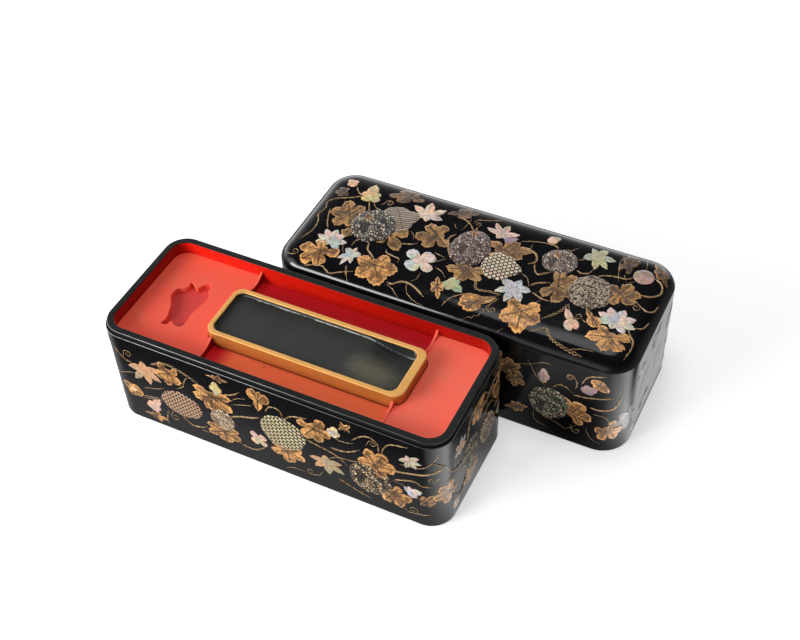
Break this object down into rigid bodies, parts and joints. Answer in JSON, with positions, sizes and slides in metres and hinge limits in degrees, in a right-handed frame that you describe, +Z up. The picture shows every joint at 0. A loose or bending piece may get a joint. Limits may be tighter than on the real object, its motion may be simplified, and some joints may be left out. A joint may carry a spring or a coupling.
{
  "type": "ink box",
  "caption": "Long black-lacquered suzuri ink box with a vermilion lift-out tray, gilt-edged inkstone and a deep domed lid standing beside it.",
  "frame": {"origin": "centre of the underside of the box", "axes": "+X along the box towards the end that holds the ink well, +Y from the box towards the lid that stands behind it, +Z up"},
  "size_m": [0.2974, 0.1874, 0.0775],
  "materials": {
    "black_lacquer": "gloss",
    "vermilion_lacquer": "satin",
    "inkstone": "satin",
    "gold_inlay": "satin",
    "shell_inlay": "gloss"
  },
  "bodies": {
    "box": {"box_wall": "black_lacquer", "box_floor": "vermilion_lacquer"},
    "tray": {"tray_wall": "vermilion_lacquer", "tray_rim": "black_lacquer", "tray_floor": "vermilion_lacquer", "left_deck": "vermilion_lacquer", "right_deck": "vermilion_lacquer", "left_front_bridge": "vermilion_lacquer", "left_back_bridge": "vermilion_lacquer", "right_front_bridge": "vermilion_lacquer", "right_back_bridge": "vermilion_lacquer"},
    "inkstone": {"inkstone": "inkstone"},
    "lid": {"lid_wall": "black_lacquer", "lid_top": "black_lacquer"}
  },
  "joints": [
    {"name": "tray_lift", "type": "slide", "parent": "box", "child": "tray", "axis": [0, 0, 1], "range_m": [0, 0.07]},
    {"name": "inkstone_lift", "type": "slide", "parent": "tray", "child": "inkstone", "axis": [0, 0, 1], "range_m": [0, 0.04]},
    {"name": "lid_lift", "type": "slide", "parent": "box", "child": "lid", "axis": [0, 0, 1], "range_m": [0, 0.1]}
  ]
}
